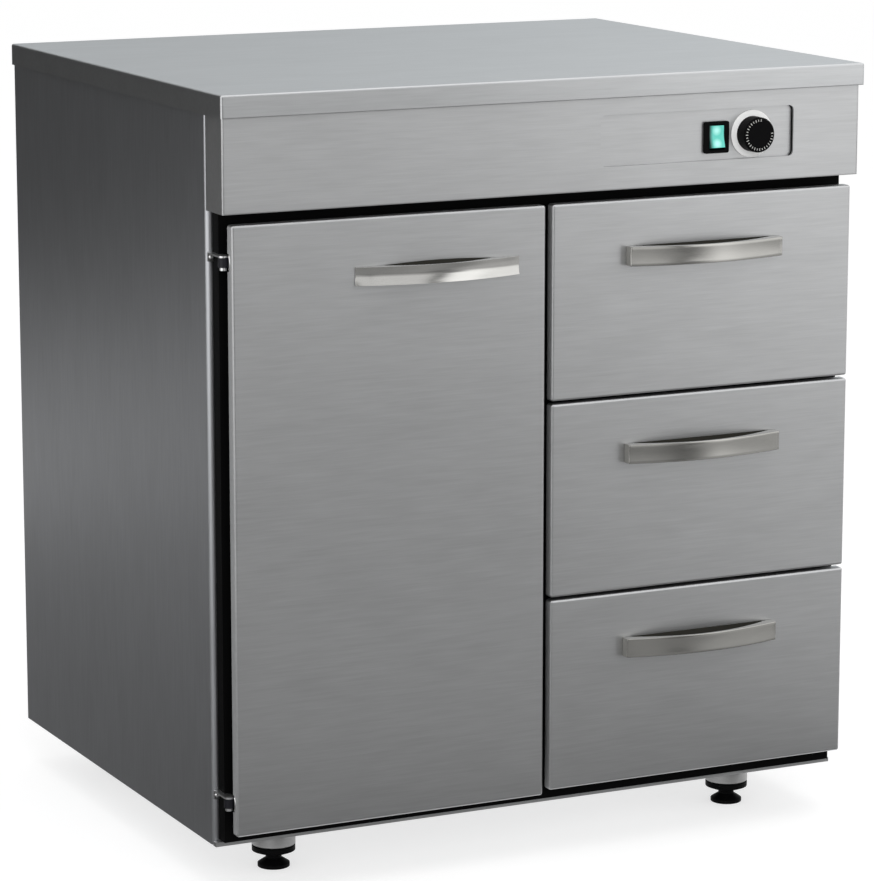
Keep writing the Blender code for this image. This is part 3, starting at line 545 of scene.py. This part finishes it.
def add_back_screws():
    """Domed screws round the rim of the back panel."""
    inset = 0.018
    below_top = 0.045
    parts = 4
    profile = screw_profile(0.0038, 0.0012)
    low, high = (Vector(corner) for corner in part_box("back_panel"))
    left, right = low.x + inset, high.x - inset
    bottom, top = low.z + inset, high.z - below_top
    rows = [(left + (right - left) * step / parts, z) for step in range(parts + 1) for z in (bottom, top)]
    columns = [(x, bottom + (top - bottom) * step / parts) for step in range(1, parts) for x in (left, right)]
    bm = bmesh.new()
    for x, z in rows + columns:
        add_lathe(bm, profile, facing((x, high.y + FIT_GAP, z), (0, 1, 0)))
    shade_smooth(add_piece("back_screws", bm, "bright", "cabinet"))


def add_recess_painted_shade():
    """Painted shade: a dark strip along the right-hand wall of the control recess and round its two corners,
    where shade falls.
    """
    strip_front = 0.0027
    strip_thick = 0.0003
    floor_gap = 0.0001
    corner_steps = 6
    corner_turn = 13
    whole_turn = corner_turn * (corner_steps - 1)
    low, high = (Vector(corner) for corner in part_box("fascia"))
    right = high.x - RECESS_IN
    top, bottom = HEIGHT - RECESS_TOP, HEIGHT - RECESS_BOTTOM
    outer = RECESS_ROUND - FIT_GAP
    path = []
    for corner_z, start in ((top - RECESS_ROUND, whole_turn), (bottom + RECESS_ROUND, 0)):
        for step in range(corner_steps):
            angle = math.radians(start - corner_turn * step)
            out = (math.cos(angle), math.sin(angle))
            path.append((right - RECESS_ROUND + outer * out[0], corner_z + outer * out[1], *out))
    front, back = low.y + strip_front, low.y + RECESS_DEPTH - floor_gap
    bm = bmesh.new()
    rings = []
    for x, z, out_x, out_z in path:
        inner_x, inner_z = x - strip_thick * out_x, z - strip_thick * out_z
        spots = ((x, front, z), (x, back, z), (inner_x, back, inner_z), (inner_x, front, inner_z))
        rings.append([bm.verts.new(spot) for spot in spots])
    add_skin(bm, rings)
    # Painted shade: the strip is drawn in the near-black seal finish
    shade_smooth(add_piece("recess_painted_shade", bm, "seal", "cabinet"))


def add_handle_painted_shade():
    """Painted shade in each bow handle's finger gap: dark sheets on its inner face and on the front behind
    it.

    Each row is a handle, its body, half the length and the depth of its finger gap, and how far the
    middle of the front sheet's top rises above its ends.
    """
    steps = 24
    inner_shade_share = 0.95
    inner_shade_clear = 0.0001
    inner_shade_deep = 0.0008
    inner_shade_trim = 0.0006
    front_shade_share = 0.93
    front_shade_proud = 0.0003
    front_shade_sunk = 0.0002
    front_shade_trim = 0.0003
    for name, body, gap_half, gap, rise in (
        ("door_handle", "door", 0.070, 0.0155, 0.0024),
        ("drawer_1_handle", "drawer_1", 0.092, 0.023, 0.0),
        ("drawer_2_handle", "drawer_2", 0.092, 0.023, 0.0),
        ("drawer_3_handle", "drawer_3", 0.092, 0.023, 0.0),
    ):
        low, high = (Vector(corner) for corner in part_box(name))
        middle = (low.x + high.x) / 2
        inner_shade_bm = bmesh.new()
        front_shade_bm = bmesh.new()
        inner_shade_rings = []
        front_shade_rings = []
        for step in range(steps + 1):
            share = 2 * step / steps - 1
            x = inner_shade_share * gap_half * share
            inner = high.y - gap * (1 - (x / gap_half) ** 2)
            inner_shade_rings.append([inner_shade_bm.verts.new((middle + x, y, z)) for y, z in (
                (inner + inner_shade_clear, low.z + inner_shade_trim), (inner + inner_shade_clear, high.z - inner_shade_trim),
                (inner + inner_shade_deep, high.z - 2 * inner_shade_trim), (inner + inner_shade_deep, low.z + 2 * inner_shade_trim))])
            x = front_shade_share * gap_half * share
            top = high.z - front_shade_trim + rise * (1 - share ** 2)
            front_shade_rings.append([front_shade_bm.verts.new((middle + x, y, z)) for y, z in (
                (high.y - front_shade_proud, low.z + 2 * front_shade_trim), (high.y - front_shade_proud, top - front_shade_trim),
                (high.y + front_shade_sunk, top), (high.y + front_shade_sunk, low.z + front_shade_trim))])
        add_skin(inner_shade_bm, inner_shade_rings)
        # Painted shade: the dark sheet on the handle's inner face
        shade_smooth(add_piece(name + "_back", inner_shade_bm, "gap", body))
        add_skin(front_shade_bm, front_shade_rings)
        # Painted shade: the dark sheet on the front behind the handle
        add_piece(name + "_painted_shade", front_shade_bm, "gap", body)


def add_element_clips():
    """Saddle clips that hold each heating tube to the back wall."""
    clearance = 0.0001
    sheet = 0.0008
    half_width = 0.006
    foot_reach = 2.2
    rows = 4
    arc = [math.radians(180 * turn / 8) for turn in range(9)]
    for side in ("left", "right"):
        low, high = (Vector(corner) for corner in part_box("heating_element_" + side))
        bm = bmesh.new()
        radius = (high.y - low.y) / 2
        axis = low.y + radius
        foot = foot_reach * radius
        inner = radius + clearance
        outer = inner + sheet
        outline = [(-foot, high.y), (-foot, high.y - sheet)]
        outline += [(-outer * math.cos(angle), axis - outer * math.sin(angle)) for angle in arc]
        outline += [(foot, high.y - sheet), (foot, high.y), (inner, high.y)]
        outline += [(inner * math.cos(angle), axis - inner * math.sin(angle)) for angle in arc]
        outline += [(-inner, high.y)]
        for part in (0.2, 0.8):
            x = low.x + (high.x - low.x) * part
            for step in range(rows):
                z = low.z + radius + (high.z - low.z - 2 * radius) * step / (rows - 1)
                add_skin(bm, [
                    [bm.verts.new((along, y, z + up)) for up, y in outline]
                    for along in (x - half_width, x + half_width)
                ])
        shade_smooth(add_piece("element_clips_" + side, bm, "bright", "cabinet"))


add_knob_marks()
add_hinge_screws()
add_hinge_rims()
add_back_screws()
add_recess_painted_shade()
add_handle_painted_shade()
add_element_clips()


def ramps(tree, axes, steps):
    """The product of soft ramps along the axes, each one an axis, two places and two values."""
    total = None
    for axis, start, end, low, high in steps:
        value = spread(tree, axes[axis], low, high, start, end, "SMOOTHSTEP")
        total = value if total is None else combine(tree, "MULTIPLY", total, value)
    return total


def emission_card(name, corners, strength_at, stripe=None, more=None, colour=(1.0, 1.0, 1.0)):
    """A soft panel that shows only in reflections, with its brightness set by ramps along its directions.

    More ramps can be added to the first. A stripe is a soft dark band across X: its middle, its half
    width and the share of light that is left in its middle.
    """
    bm = bmesh.new()
    bm.faces.new([bm.verts.new(corner) for corner in corners])
    material, tree = empty_material(name)
    axes = axes_of(tree, "Object")
    total = ramps(tree, axes, strength_at)
    if more:
        total = combine(tree, "ADD", total, ramps(tree, axes, more))
    if stripe:
        middle, half, dark = stripe
        away = node(tree, "ShaderNodeMath", operation="SUBTRACT")
        away.inputs[1].default_value = middle
        tree.links.new(axes["X"], away.inputs[0])
        band = spread(tree, size_of(tree, away.outputs["Value"]), dark, 1.0, 0.0, half, "SMOOTHSTEP")
        total = combine(tree, "MULTIPLY", total, band)
    glow = node(tree, "ShaderNodeEmission")
    glow.inputs["Color"].default_value = (*colour, 1.0)
    tree.links.new(total, glow.inputs["Strength"])
    out = node(tree, "ShaderNodeOutputMaterial")
    tree.links.new(glow.outputs["Emission"], out.inputs["Surface"])
    obj = mesh_object(name, bm, material)
    for ray in ("camera", "diffuse", "shadow", "transmission", "volume_scatter"):
        setattr(obj, "visible_" + ray, False)


def any_seen_ray(tree):
    """One for rays that show the background: camera, glossy and transmission rays."""
    path = node(tree, "ShaderNodeLightPath")
    seen = combine(tree, "ADD", path.outputs["Is Camera Ray"], path.outputs["Is Glossy Ray"], clamp=True)
    return combine(tree, "ADD", seen, path.outputs["Is Transmission Ray"], clamp=True)


def add_floor():
    """A pale floor that takes the shadow. Its glow is for the rays that show it, not for light."""
    half_size = 40.0
    glow_strength = 0.62
    bm = bmesh.new()
    bmesh.ops.create_grid(bm, x_segments=1, y_segments=1, size=half_size)
    material, tree = empty_material("floor_pale")
    matte = node(tree, "ShaderNodeBsdfDiffuse")
    matte.inputs["Color"].default_value = (0.5, 0.5, 0.5, 1.0)
    glow = node(tree, "ShaderNodeEmission")
    tree.links.new(spread(tree, any_seen_ray(tree), 0.0, glow_strength, 0.0, 1.0), glow.inputs["Strength"])
    both = node(tree, "ShaderNodeAddShader")
    tree.links.new(matte.outputs["BSDF"], both.inputs[0])
    tree.links.new(glow.outputs["Emission"], both.inputs[1])
    out = node(tree, "ShaderNodeOutputMaterial")
    tree.links.new(both.outputs["Shader"], out.inputs["Surface"])
    floor = mesh_object("floor", bm, material)


def add_world():
    """White where it is seen, and a little less as light."""
    light_strength = 0.75
    world = bpy.data.worlds.new("studio")
    bpy.context.scene.world = world
    world.use_nodes = True
    tree = world.node_tree
    back = tree.nodes["Background"]
    strength = spread(tree, any_seen_ray(tree), light_strength, 1.0, 0.0, 1.0)
    back.inputs["Color"].default_value = (1.0, 1.0, 1.0, 1.0)
    tree.links.new(strength, back.inputs["Strength"])


def add_lamp(name, place, target, size, power):
    """A soft square lamp that points at a target and doesn't show in reflections."""
    lamp = bpy.data.lights.new(name, "AREA")
    lamp.shape = "SQUARE"
    lamp.size = size
    lamp.energy = power
    obj = bpy.data.objects.new(name, lamp)
    obj.location = place
    obj.rotation_euler = (Vector(target) - Vector(place)).to_track_quat("-Z", "Y").to_euler()
    obj.visible_glossy = False
    bpy.context.scene.collection.objects.link(obj)


def add_camera():
    data = bpy.data.cameras.new("camera")
    data.sensor_fit = "VERTICAL"
    data.sensor_height = CAMERA_SENSOR
    data.lens = CAMERA_LENS
    obj = bpy.data.objects.new("camera", data)
    obj.location = CAMERA_PLACE
    obj.rotation_euler = Vector(CAMERA_LOOK).to_track_quat("-Z", "Y").to_euler()
    bpy.context.scene.collection.objects.link(obj)
    bpy.context.scene.camera = obj


def upright(y, left, right, bottom, top):
    """Corners of a panel that stands across the view."""
    return [(left, y, bottom), (right, y, bottom), (right, y, top), (left, y, top)]


def lying(z, left, right, front, back):
    """Corners of a panel that lies flat."""
    return [(left, front, z), (right, front, z), (right, back, z), (left, back, z)]


add_floor()
add_world()
add_camera()
add_lamp("soft_top", (0.2, -0.8, 3.2), (0, 0, 0.4), 3.0, 30.0)
add_lamp("soft_front", (-1.6, -4.2, 2.2), (0, 0, 0.5), 2.5, 55.0)

# What the steel reflects: in front of the cabinet, on the floor, at the left, behind and above
FRONT_CARD_Y = -1.9
FRONT_CARD_ENDS = (-3.0, 4.0)
FRONT_CARD_SPLIT = 0.56
FLOOR_CARD_Z = 0.003
FLOOR_CARD_SPLIT = -1.36
LEFT_EDGE_LIGHT = [("X", -1.6, -1.0, 1.2, 0.0)]

emission_card(
    "card_front",
    upright(FRONT_CARD_Y, *FRONT_CARD_ENDS, 0.0, FRONT_CARD_SPLIT),
    [
        ("X", -0.60, -0.30, 0.1, 1.0), ("X", 0.2, 1.2, 0.64, 1.48), ("X", 1.2, 1.9, 1.0, 0.81),
        ("Z", 0.0, 0.55, 0.46, 1.0),
    ],
    stripe=(0.72, 0.58, 0.28),
    more=LEFT_EDGE_LIGHT,
)
emission_card(
    "card_front_upper",
    upright(FRONT_CARD_Y, *FRONT_CARD_ENDS, FRONT_CARD_SPLIT, 3.0),
    [("X", -0.75, -0.35, 0.0, 1.0), ("X", 0.2, 1.0, 0.84, 1.50), ("X", 1.2, 1.9, 1.0, 0.80)],
    stripe=(0.56, 0.26, 0.18),
    more=LEFT_EDGE_LIGHT,
)
emission_card(
    "card_front_floor",
    lying(FLOOR_CARD_Z, *FRONT_CARD_ENDS, FRONT_CARD_Y, FLOOR_CARD_SPLIT),
    [("X", -0.4, 1.2, 0.80, 1.38), ("Y", -1.9, -0.4, 0.40, 0.33)],
    stripe=(0.53, 0.30, 0.45),
)
emission_card(
    "card_front_floor_near",
    lying(FLOOR_CARD_Z, *FRONT_CARD_ENDS, FLOOR_CARD_SPLIT, -0.33),
    [("X", -0.4, 1.2, 0.76, 1.46), ("Y", -1.9, -0.4, 0.43, 0.38), ("Y", -0.8, -0.4, 1.0, 0.5)],
    stripe=(0.42, 0.34, 0.68),
)
emission_card("card_left", upright(1.6, -0.5, -3.5, 0.0, 2.5), [("Z", 0.1, 0.50, 0.37, 0.025)])
emission_card("card_left_floor", lying(FLOOR_CARD_Z, -3.5, -0.41, -0.6, 1.6), [("Y", -0.4, 1.6, 0.10, 0.17)])
emission_card(
    "card_back",
    upright(2.6, -0.45, 6.0, 0.0, 4.0),
    [("X", 0.5, 2.5, 0.60, 0.85)],
    colour=(0.93, 0.975, 1.0),
)
emission_card(
    "card_left_front",
    [(-3.2, -6.0, 0.0), (-3.2, -0.3, 0.0), (-3.2, -0.3, 2.6), (-3.2, -6.0, 2.6)],
    [("Z", 0.0, 1.0, 1.7, 1.9)],
)
emission_card("card_top", lying(3.0, -2.5, 3.5, -4.5, 1.5), [("Y", -4.5, 1.5, 1.5, 1.6)])

bpy.context.scene.view_settings.view_transform = "Standard"
